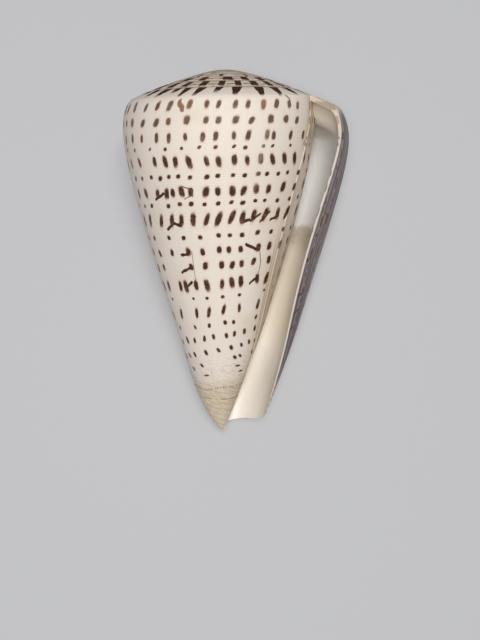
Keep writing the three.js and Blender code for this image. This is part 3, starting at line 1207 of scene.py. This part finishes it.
class Markings:
    """The brown marks of the shell, as fields of one material."""

    angle_shift = -0.2  # degrees from a place past the step to the angle that marks are given by
    angle_bend = 6.0  # four times the degrees that are added in the middle of the flank
    row_period = 138.0  # degrees after which the marks of a row come round again
    row_start = -4.0
    squareness = 2.5  # 2 would make each spot an ellipse
    ramp_offset = 4.0  # a colour ramp holds 0 to 1, so its values are packed by these two
    ramp_scale = 128.0
    stroke_pitch = 0.6  # millimetres in a degree, where the strokes are
    least_radius = 0.2
    spot_drift = 0.5  # millimetres between the highest and the lowest spot of a row
    spot_tilt = 0.3  # how much the lean of the spots varies
    spot_least = 0.86  # size of the smallest spot of a row, against the size that is given
    spot_growth = 0.28
    spot_squat = 0.89
    bar_slant = 1.6  # millimetres between the two most different slants of the bars
    bar_least = 0.75
    bar_growth = 0.35
    bar_edge: Span = (1.12, 0.88)
    bar_end_depths: Span = (9.9, 8.7)
    bar_end_shares: Span = (0.96, 0.84)
    bar_whorls: Span = (3.5, 2.9)
    bar_seed = 40.0
    seam_near: Span = (0.15, 0.5)  # middle and half width, in millimetres past the suture
    seam_far: Span = (-1.5, 0.3)

    def __init__(self, paint: Paint) -> None:
        """Finds the lobe of the pattern that each point is in.

        Args:
            paint: The material they belong to.
        """
        self.paint = paint
        share = paint.depth / paint.rule.length
        drawn = paint.past_step + self.angle_shift + self.angle_bend * share * (1.0 - share)
        along = (drawn - self.row_start) / self.row_period
        self.lobe = whole(along)
        self.local = along - self.lobe
        self.degrees = self.local * self.row_period + self.row_start
        self.edge_noise = (paint.noise(paint.place, 0.8, 3.0) - 0.5) * 0.55

    def centres(self, row: SpotRow) -> Field:
        """Share of the lobe at the mark of a row that is nearest to each point.

        Args:
            row: The row.

        Returns:
            The share.
        """
        shares = [(angle - self.row_start) / self.row_period for angle in row.angles]
        shares.append(shares[0] + 1.0)
        stops = [((a + b) / 2.0, b) for a, b in zip(shares, shares[1:])]
        return self.paint.steps(self.local, [(0.0, shares[0]), *stops])

    def picked(self, place: Field, stops: list[float], rows: tuple[SpotRow, ...]) -> list[Field]:
        """Reads the sizes of the row that a point is in.

        Args:
            place: Where it is read, from 0 to 1.
            stops: Where each row starts.
            rows: The rows.

        Returns:
            The row's number, depth, height, width and lean, how far the nearest mark lies along
            the row in millimetres, and three random numbers for that mark.
        """
        columns = [[float(number) for number in range(len(rows))]]
        for name in ("depth", "height", "width", "lean"):
            columns.append([getattr(row, name) for row in rows])
        found = []
        for column in columns:
            packed = [(value + self.ramp_offset) / self.ramp_scale for value in column]
            step = self.paint.steps(place, list(zip(stops, packed)))
            found.append(step * self.ramp_scale - self.ramp_offset)
        centre: Scalar = 0.0
        for number, row in enumerate(rows):
            here = math_node("COMPARE", found[0], float(number), 0.5)
            centre = math_node("MULTIPLY_ADD", here, self.centres(row), centre)
        aside = (self.local - centre) * math.radians(self.row_period) * self.paint.radius
        return [*found, centre, aside]

    def cell(self, centre: Field, number: Scalar) -> tuple[Field, Field, Field]:
        """Three random numbers for the mark at a centre in a numbered row."""
        return self.paint.chance(centre * 61.0 + self.lobe * 7.0, number)

    def spots(self) -> Field:
        """Distance from the nearest spot of the flank.

        Returns:
            The distance, 1 at the edge of the spot.
        """
        paint = self.paint
        reach = paint.rule.length
        stops = [0.0]
        for upper, lower in zip(FLANK_ROWS, FLANK_ROWS[1:]):
            stops.append((upper.depth + upper.height + lower.depth - lower.height) / 2.0 / reach)
        number, depth, height, width, lean, centre, dx = self.picked(
            paint.row_depth / reach, stops, FLANK_ROWS
        )
        aside, down, bulk = self.cell(centre, number)
        dy = paint.row_depth - depth + (down - 0.5) * self.spot_drift
        dx = dx + dy * (lean + (aside - 0.55) * self.spot_tilt)
        grow = self.spot_least + bulk * self.spot_growth
        across = size_of(dx / (width * grow)) ** self.squareness
        along = size_of(dy / (height * (grow * self.spot_squat))) ** self.squareness
        return (across + along) ** (1.0 / self.squareness) + self.edge_noise

    def stroke(self, mark: Stroke) -> Field:
        """Distance from a stroke, 1 at its edge.

        Args:
            mark: The stroke.

        Returns:
            The distance.
        """
        x0, y0 = mark.start[0] * self.stroke_pitch, mark.start[1]
        x1, y1 = mark.end[0] * self.stroke_pitch, mark.end[1]
        reach = (x1 - x0) ** 2 + (y1 - y0) ** 2
        across = self.degrees * self.stroke_pitch - x0
        down = self.paint.row_depth - y0
        share = across * ((x1 - x0) / reach) + down * ((y1 - y0) / reach)
        share = lesser(greater(share, 0.0), 1.0)
        return hypotenuse(across - share * (x1 - x0), down - share * (y1 - y0)) / mark.width

    def strokes(self, marks: tuple[Stroke, ...]) -> Field:
        """Distance from the nearest of several strokes, 1 at its edge."""
        return reduce(lesser, (self.stroke(mark) for mark in marks))

    def strip(self) -> Field:
        """Whorls between each point of the spire and the last suture, less than 0 inside it."""
        rule = self.paint.rule
        ratio = greater(self.paint.radius, self.least_radius) / rule.suture_radius
        return math_node("LOGARITHM", ratio, rule.suture_growth) - self.paint.turn

    def flames(self) -> Field:
        """How far each point of the spire lies in a brown bar.

        Returns:
            A number from 0 to 1.
        """
        paint = self.paint
        strip = self.strip()
        whorl = greater(1.0 - math_node("CEIL", strip), 0.0)
        share = lesser(strip + whorl, 1.0)
        rows = len(SPIRE_ROWS)
        stops = [max(0.0, (number - 0.5) / rows) for number in range(rows)]
        _, _, taper, width, lean, centre, dx = self.picked(
            lesser(whorl, rows - 1.0) / rows, stops, SPIRE_ROWS
        )
        aside, down, bulk = self.cell(centre, whorl + self.bar_seed)
        reach = paint.radius / paint.rule.suture_radius
        dx = dx - (lean + (aside - 0.5) * self.bar_slant) * share * reach
        half = width * (1.0 - taper * share) * reach * (self.bar_least + self.bar_growth * bulk)
        bar = ramp(size_of(dx) / half + self.edge_noise * 1.2, *self.bar_edge)
        end = ramp(paint.depth + self.edge_noise * 2.0 + down * 1.5, *self.bar_end_depths)
        inner = ramp(share + self.edge_noise * 0.3, *self.bar_end_shares)
        inner = inner * ramp(whorl, *self.bar_whorls)
        return bar * blend(inner, end, above(0.5, whorl))

    def seams(self) -> Field:
        """How far each point of the spire lies in the dark lines beside a suture.

        Returns:
            A number from 0 to 1.
        """
        paint = self.paint
        strip = lesser(self.strip(), 0.4)
        away = (strip - whole(strip + 0.5)) * math.log(paint.rule.suture_growth) * paint.radius
        away = away + self.edge_noise * 0.25
        near, far = (hill(away - middle, half) for middle, half in (self.seam_near, self.seam_far))
        return lesser(near + far * paint.patches(0.35, 0.36, 0.5), 1.0)

    def on_spire(self) -> Field:
        """1 on the spire, 0 on the flank."""
        rule = self.paint.rule
        shoulder = rule.spire_depth(rule.shoulder(self.paint.turn))
        return 1.0 - ramp(self.paint.depth - shoulder, 0.0, 0.4)


@dataclass(frozen=True)
class Enamel:
    """The outside: cream enamel with rows of brown marks, and a tan front end.

    A span is where a ramp starts and ends: depths in millimetres, angles in degrees past the
    step behind the lip.
    """

    cream: Colour = (0.78, 0.69, 0.6)
    warm: Colour = (0.66, 0.56, 0.42)
    grey: Colour = (0.46, 0.42, 0.42)
    # mauve of the lip's outside: partly the shell's own tint, mostly painted shade of the steep side,
    # with a bluish painted reflection
    mauve: Colour = (0.115, 0.088, 0.108)
    brown: Colour = (0.052, 0.018, 0.008)
    light_brown: Colour = (0.15, 0.075, 0.045)
    dark_brown: Colour = (0.045, 0.012, 0.004)
    rust: Colour = (0.26, 0.1, 0.035)
    faded: Colour = (0.24, 0.18, 0.165)
    blush: Colour = (0.64, 0.42, 0.28)
    tan: Colour = (0.5, 0.38, 0.24)
    chalk: Colour = (0.74, 0.69, 0.6)
    front: Colour = (0.5, 0.4, 0.27)
    front_pale: Colour = (0.64, 0.54, 0.39)
    rows_start: Span = (8.8, 9.8)
    rows_end: Span = (97.5, 96.5)
    lip_shoulder_angles: Span = (347.0, 342.0)
    lip_shoulder_depths: Span = (14.0, 19.0)
    spire_depths: Span = (14.0, 12.0)
    spire_angles: Span = (349.0, 343.0)
    spot_edge: Span = (1.24, 0.86)
    spot_core: Span = (1.08, 0.68)
    blush_reach: Span = (1.9, 0.9)
    scar_edge: Span = (1.6, 0.5)
    wall_angles: Span = (1.0, -2.0)
    lip_angles: Span = (318.0, 346.0)
    old_angles: Span = (104.0, 118.0)
    callus_angles: Span = (7.5, 4.5)
    front_depths: Span = (99.0, 106.0)
    ring_depth: float = 101.2
    groove_depth: float = 106.3
    notch_depth: float = 20.5
    rim_turns: Span = (-0.0035, -0.0012)
    specular: float = 0.17
    rib_pitch: float = 0.62
    bump: float = 0.00009

    def build(self, growth: ShellGrowth, pose: ShellPose) -> bpy.types.Material:
        """Mixes the material.

        Args:
            growth: The rule of the shell.
            pose: How it lies.

        Returns:
            The material.
        """
        paint = Paint("cream_enamel", growth, pose)
        marks = Markings(paint)
        lines = self.growth_lines(paint)
        flank = 1.0 - marks.on_spire()
        scars = marks.strokes(SCARS) + marks.edge_noise * 2.0
        scars = ramp(scars, *self.scar_edge) * flank
        colour = self.marked(paint, marks, self.ground(paint, lines), flank)
        colour = paint.coat(colour, self.light_brown, scars * 0.8)
        colour = self.front_end(paint, self.step(paint, colour))
        gloss = 0.44 + 0.14 * paint.noise(paint.place, 0.35) + 0.12 * ramp(paint.depth, 95.0, 104.0)
        gloss = gloss + 0.25 * ramp(paint.depth, 13.0, 9.0)
        paint.shader.inputs["Specular IOR Level"].default_value = self.specular
        ribs = cosine(paint.depth * (math.tau / self.rib_pitch)) * paint.patches(0.08, 0.35, 0.6)
        grain = paint.noise(paint.place, 3.0, 3.0)
        height = lines * 0.6 + grain * 0.4 + ribs * 0.18 - scars * 2.0
        return paint.finish(self.rim(paint, colour), gloss, height, self.bump)

    def growth_lines(self, paint: Paint) -> Field:
        """Fine lines of growth, which run from the shoulder to the front end."""
        around = paint.past_step + paint.noise(paint.place, 0.06) * 5.0
        return paint.streaks(around * 1.9, paint.depth * 0.03, 3.0)

    def ground(self, paint: Paint, lines: Field) -> Socket:
        """The cream under the marks, warmer at the step, grey behind (partly painted shade) and mauve
        at the lip (mostly painted shade).

        Args:
            paint: The material.
            lines: The lines of growth.

        Returns:
            The colour.
        """
        cloud = ramp(paint.noise(paint.place, 0.07, 3.0), 0.48, 0.8)
        step = ramp(paint.past_step, 26.0, -2.0) * ramp(paint.depth, 8.0, 70.0)
        # grey from 84 to 330 degrees past the step: partly the shell's own grey, partly painted shade
        # of that side
        far_side = ramp(paint.past_step, 84.0, 150.0) * ramp(paint.past_step, 330.0, 200.0)
        # mauve toward the lip, standing mostly for painted shade of the steep outside there
        lip = ramp(paint.past_step, *self.lip_angles)
        streaks = ramp(paint.streaks(paint.past_step * 0.9, paint.depth * 0.02, 3.0), 0.35, 0.65)
        return paint.coats(self.cream, (
            (self.warm, cloud * 0.55),
            (self.grey, ramp(lines, 0.52, 0.75) * 0.16),
            (self.warm, step * 0.55),
            (self.cream, ramp(paint.past_step, *self.wall_angles) * 0.6),
            (self.grey, far_side * 0.35),
            (self.mauve, lip * (0.68 + 0.4 * streaks)),
        ))

    def marked(self, paint: Paint, marks: Markings, colour: Socket, flank: Field) -> Socket:
        """Lays the tan of the spire and all brown marks over the ground.

        Args:
            paint: The material.
            marks: Its marks.
            colour: The ground.
            flank: 1 on the flank, 0 on the spire.

        Returns:
            The colour.
        """
        flank = flank * ramp(paint.row_depth, *self.rows_start) * ramp(paint.row_depth, *self.rows_end)
        lip = ramp(paint.past_step, *self.lip_shoulder_angles)
        flank = flank * greater(lip, ramp(paint.depth, *self.lip_shoulder_depths))
        top = ramp(paint.depth, *self.spire_depths) * ramp(paint.past_step, *self.spire_angles)
        inside = ramp(marks.strip(), 0.75, -0.2) * top
        cloud = paint.patches(0.5, 0.42, 0.68, 3.0)
        spots = marks.spots()
        ragged = (paint.noise(paint.place, 1.0) - 0.5) * 1.8 - 0.15
        near = lesser(spots, marks.strokes(STROKES) + marks.edge_noise * 1.5 + ragged)
        soft = paint.noise(paint.place, 0.9, 1.0)
        core = ramp(near + (soft - 0.5) * 0.8, *self.spot_core) * flank
        fading = self.fading(paint)
        tone = paint.coat(self.faded, self.light_brown, paint.patches(0.45, 0.35, 0.6))
        patchy = paint.coats(self.brown, (
            (self.light_brown, paint.patches(0.6, 0.5, 0.75)),
            (self.rust, self.rusty(paint) * 0.9),
        ))
        return paint.coats(colour, (
            (self.blush, ramp(spots, *self.blush_reach) * flank * soft * 0.7),
            (self.tan, inside * (0.3 + 0.55 * cloud)),
            (self.dark_brown, marks.seams() * top * 0.95),
            (tone, ramp(near, *self.spot_edge) * flank * (0.8 - 0.35 * fading)),
            (patchy, core * (0.97 - 0.6 * fading)),
            (self.dark_brown, marks.flames() * top),
        ))

    def rusty(self, paint: Paint) -> Field:
        """Where two groups of marks near the shoulder are rust red, from 0 to 1.

        Args:
            paint: The material.

        Returns:
            How red they are.
        """
        left = hill(paint.past_step - 86.5, 5.0) * ramp(paint.row_depth, 20.0, 15.0)
        right = hill(paint.past_step - 42.0, 3.0) * ramp(paint.row_depth, 15.0, 13.0)
        return greater(left, right)

    def fading(self, paint: Paint) -> Field:
        """Where the marks are worn and grey, from 0 to 1.

        Args:
            paint: The material.

        Returns:
            How worn they are.
        """
        far_side = ramp(paint.past_step, *self.old_angles) * 0.55
        worn = hill(paint.past_step - 35.5, 2.4) * ramp(paint.row_depth, 17.0, 19.0)
        worn = worn * ramp(paint.row_depth, 37.0, 35.0) * 0.7
        stripe = hill(paint.past_step - 64.5, 2.6) * ramp(paint.row_depth, 24.0, 20.5) * 0.3
        upper = ramp(paint.row_depth, 30.0, 12.0) * 0.4
        return lesser(greater(greater(far_side, worn), greater(stripe, upper)), 1.0)

    def step(self, paint: Paint, colour: Socket) -> Socket:
        """Lays the tan callus, its dark lines and the notch at the step behind the lip.

        Args:
            paint: The material.
            colour: The colour so far.

        Returns:
            The colour.
        """
        callus = ramp(paint.past_step + paint.noise(paint.place, 0.3) * 3.0, *self.callus_angles)
        striae = ramp(paint.streaks(paint.past_step * 1.3, paint.depth * 0.05), 0.4, 0.6)
        high = ramp(paint.depth, 26.0, 20.0) * ramp(paint.depth, 7.0, 9.5)
        low = ramp(paint.depth, 42.0, 62.0) * ramp(paint.depth, 112.0, 100.0)
        outer = hill(paint.past_step - 4.6 - paint.noise(paint.place, 0.1) * 1.5, 0.35)
        inner = hill(paint.past_step - 1.4 - paint.noise(paint.place, 0.12), 0.25) * 0.6
        notch = hill(paint.depth - self.notch_depth - paint.past_step * 0.6, 0.3)
        return paint.coats(colour, (
            (paint.coat(self.tan, self.warm, striae), callus * lesser(high + low, 1.0) * 0.62),
            (self.light_brown, greater(outer, inner) * low * 0.85),
            (self.dark_brown, notch * ramp(paint.past_step, 4.5, 2.5) * 0.8),
        ))

    def front_end(self, paint: Paint, colour: Socket) -> Socket:
        """Lays the tan bands of the front end, with a dashed ring and a groove round it.

        Args:
            paint: The material.
            colour: The colour so far.

        Returns:
            The colour.
        """
        drift = paint.noise(paint.place, 0.12) * 6.0
        slant = paint.joined(paint.past_step * 0.05, paint.depth * 1.5 + paint.past_step * 0.09)
        tan = paint.coats(self.front_pale, (
            (self.front, ramp(paint.noise(slant, 1.0, 3.0), 0.42, 0.62) * 0.8),
            (self.front_pale, ramp(paint.depth, 111.0, 116.0) * 0.6),
        ))
        thread = hill(paint.noise(slant, 1.0, 1.0) - 0.5, 0.02) * ramp(paint.depth, 86.0, 95.0)
        ring = paint.depth - self.ring_depth - 1.6 * ramp(paint.past_step, 60.0, 110.0)
        dashes = ramp(paint.streaks(paint.past_step * 0.3), 0.46, 0.58)
        groove = hill(paint.depth - self.groove_depth + drift * 0.1, 0.3) * 0.5
        return paint.coats(colour, (
            (tan, ramp(paint.depth + drift, *self.front_depths) * 0.85),
            (self.light_brown, thread * 0.35),
            (self.brown, hill(ring, 0.3) * dashes * 0.75),
            (self.light_brown, groove * paint.patches(0.25, 0.4, 0.55)),
        ))

    def rim(self, paint: Paint, colour: Socket) -> Socket:
        """Lays cream on the top edge at the lip, and chalk on the rim of the lip.

        Args:
            paint: The material.
            colour: The colour so far.

        Returns:
            The colour.
        """
        top = ramp(paint.turn, -0.03, -0.02) * ramp(paint.depth, 15.0, 11.0)
        layers = ((self.cream, top * 0.9), (self.chalk, ramp(paint.turn, *self.rim_turns) * 0.9))
        return paint.coats(colour, layers)


@dataclass(frozen=True)
class MouthGlaze:
    """The mouth: smooth white glaze, stained in places."""

    white: Colour = (0.95, 0.93, 0.9)
    cream: Colour = (0.85, 0.74, 0.58)
    stain: Colour = (0.36, 0.22, 0.08)
    clay: Colour = (0.74, 0.63, 0.48)
    ivory: Colour = (0.78, 0.71, 0.61)
    # turns over which the ceiling's clay gives way to lighter ivory, as painted light
    clay_turns: Span = (-0.012, -0.04)
    bump: float = 0.00006

    def build(self, growth: ShellGrowth, pose: ShellPose) -> bpy.types.Material:
        """Mixes the material.

        Args:
            growth: The rule of the shell.
            pose: How it lies.

        Returns:
            The material.
        """
        paint = Paint("mouth_glaze", growth, pose)
        cloud = paint.noise(paint.place, 0.16, 3.0) - 0.5
        fine = paint.noise(paint.place, 0.7, 3.0)
        down = paint.depth + cloud * 5.0
        band = ramp(down, 50.0, 56.0) * ramp(down, 104.0, 80.0)
        patch = ramp(down, 48.5, 50.5) * ramp(down, 60.0, 51.0) * (0.7 + 0.6 * (fine - 0.5))
        front = ramp(paint.depth + cloud * 8.0, 84.0, 102.0)
        top = ramp(paint.depth + cloud * 4.0, 21.5, 19.5)
        # deeper in, the clay of the ceiling turns ivory: painted light against the shade that falls
        # inside the mouth
        clay = paint.coat(self.clay, self.ivory, ramp(paint.turn, *self.clay_turns))
        spot = paint.joined(paint.turn * 360.0, paint.depth * 0.04, paint.radius * 0.1)
        lines = paint.noise(spot, 1.0, 3.0)
        colour = paint.coats(self.white, (
            (self.cream, band * 0.7),
            (self.stain, patch * 0.75),
            (self.ivory, front * 0.9),
            (clay, top * (0.75 + 0.25 * fine)),
            (self.cream, ramp(lines, 0.5, 0.8) * 0.25),
        ))
        return paint.finish(colour, 0.28 + 0.2 * paint.noise(paint.place, 0.4), lines, self.bump)


@dataclass
class ConeShell:
    """The shell: one piece, grown by a node tree."""

    growth: ShellGrowth = field(default_factory=ShellGrowth)
    lattice: ShellLattice = field(default_factory=ShellLattice)
    relief: ShellRelief = field(default_factory=ShellRelief)
    pose: ShellPose = field(default_factory=ShellPose)

    def build(self, enamel: bpy.types.Material, glaze: bpy.types.Material) -> bpy.types.Object:
        """Grows the shell and makes a plain mesh of it.

        Args:
            enamel: Material of the outside.
            glaze: Material of the mouth.

        Returns:
            The shell's object.
        """
        tree = ShellTree(self.growth, self.lattice, self.relief, self.pose)
        group = tree.build(enamel, glaze)
        shell = bpy.data.objects.new("cone_shell", bpy.data.meshes.new("cone_shell_seed"))
        bpy.context.scene.collection.objects.link(shell)
        modifier = shell.modifiers.new("growth", "NODES")
        modifier.node_group = group
        for identifier, value in tree.sketch.inputs.items():
            modifier[identifier] = value
        seen = shell.evaluated_get(bpy.context.evaluated_depsgraph_get())
        mesh = bpy.data.meshes.new_from_object(seen)
        shell.modifiers.remove(modifier)
        shell.data = mesh
        mesh.name = "cone_shell"
        for index in reversed(range(len(mesh.materials))):
            if mesh.materials[index] is None:
                mesh.materials.pop(index=index)
        return shell


@dataclass(frozen=True)
class Stage:
    """A plain pale floor under soft studio light."""

    floor_size: float = 3.0
    floor_colour: tuple[float, float, float, float] = (0.5, 0.5, 0.51, 1.0)
    floor_roughness: float = 0.85
    sky_colour: tuple[float, float, float, float] = (0.93, 0.95, 1.0, 1.0)
    sky_strength: float = 0.2

    def build(self) -> bpy.types.Object:
        """Lays the floor and sets the even light of the room.

        Returns:
            The floor.
        """
        half = self.floor_size / 2.0
        corners = [(-half, -half, 0.0), (half, -half, 0.0), (half, half, 0.0), (-half, half, 0.0)]
        mesh = bpy.data.meshes.new("floor")
        mesh.from_pydata(corners, [], [(0, 1, 2, 3)])
        floor = bpy.data.objects.new("floor", mesh)
        bpy.context.scene.collection.objects.link(floor)
        material = bpy.data.materials.new("pale_floor")
        material.use_nodes = True
        shader = material.node_tree.nodes["Principled BSDF"]
        shader.inputs["Base Color"].default_value = self.floor_colour
        shader.inputs["Roughness"].default_value = self.floor_roughness
        mesh.materials.append(material)
        world = bpy.data.worlds.new("room")
        world.use_nodes = True
        background = world.node_tree.nodes["Background"]
        background.inputs["Color"].default_value = self.sky_colour
        background.inputs["Strength"].default_value = self.sky_strength
        bpy.context.scene.world = world
        bpy.context.scene.view_settings.view_transform = "Standard"
        return floor


@dataclass(frozen=True)
class Softbox:
    """A square studio lamp that looks at the shell. Lengths are in metres."""

    name: str
    place: tuple[float, float, float]
    size: float
    watts: float
    aim: tuple[float, float, float] = (0.0, 0.0, 0.03)

    def build(self) -> bpy.types.Object:
        """Hangs the lamp.

        Returns:
            The lamp.
        """
        data = bpy.data.lights.new(self.name, "AREA")
        data.shape = "SQUARE"
        data.size = self.size
        data.energy = self.watts
        lamp = bpy.data.objects.new(self.name, data)
        lamp.location = self.place
        aim = Vector(self.aim) - Vector(self.place)
        lamp.rotation_euler = aim.to_track_quat("-Z", "Y").to_euler()
        bpy.context.scene.collection.objects.link(lamp)
        return lamp


@dataclass(frozen=True)
class PhotoCamera:
    """The camera, at the viewing angle of the photograph. Lengths are in metres."""

    place: tuple[float, float, float] = (-0.00477407, -0.02340463, 0.26875160)
    forward: tuple[float, float, float] = (0.02539938, 0.01387725, -0.99958106)
    up: tuple[float, float, float] = (0.00633278, 0.99988135, 0.01404233)
    lens: float = 41.625
    sensor: float = 36.0
    nearest: float = 0.005

    def build(self) -> bpy.types.Object:
        """Sets the camera up as the one the scene is seen by.

        Returns:
            The camera.
        """
        data = bpy.data.cameras.new("photo_camera")
        data.lens = self.lens
        data.sensor_width = self.sensor
        data.clip_start = self.nearest
        camera = bpy.data.objects.new("photo_camera", data)
        back = -Vector(self.forward)
        right = Vector(self.up).cross(back).normalized()
        turn = Matrix((right, back.cross(right), back)).transposed()
        camera.matrix_world = Matrix.Translation(self.place) @ turn.to_4x4()
        bpy.context.scene.collection.objects.link(camera)
        bpy.context.scene.camera = camera
        return camera


def main() -> None:
    """Builds the shell, the stage, the lights and the camera, and reports each piece."""
    logging.basicConfig(level=logging.INFO, format="%(name)s: %(message)s")
    cone = ConeShell()
    enamel = Enamel().build(cone.growth, cone.pose)
    glaze = MouthGlaze().build(cone.growth, cone.pose)
    LOG.info("enamel and glaze mixed")
    shell = cone.build(enamel, glaze)
    LOG.info("shell: %d faces", len(shell.data.polygons))
    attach(shell, "root")
    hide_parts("shell")
    floor = Stage().build()
    LOG.info("floor laid")
    key = Softbox("key", (0.06, 0.12, 1.25), 0.45, 7.8)
    fill = Softbox("fill", (-0.12, -0.25, 1.2), 0.25, 6.5)
    for lamp in (key, fill):
        LOG.info("lamp: %s", lamp.build().name)
    LOG.info("camera: %s", PhotoCamera().build().name)


if __name__ == "__main__":
    main()
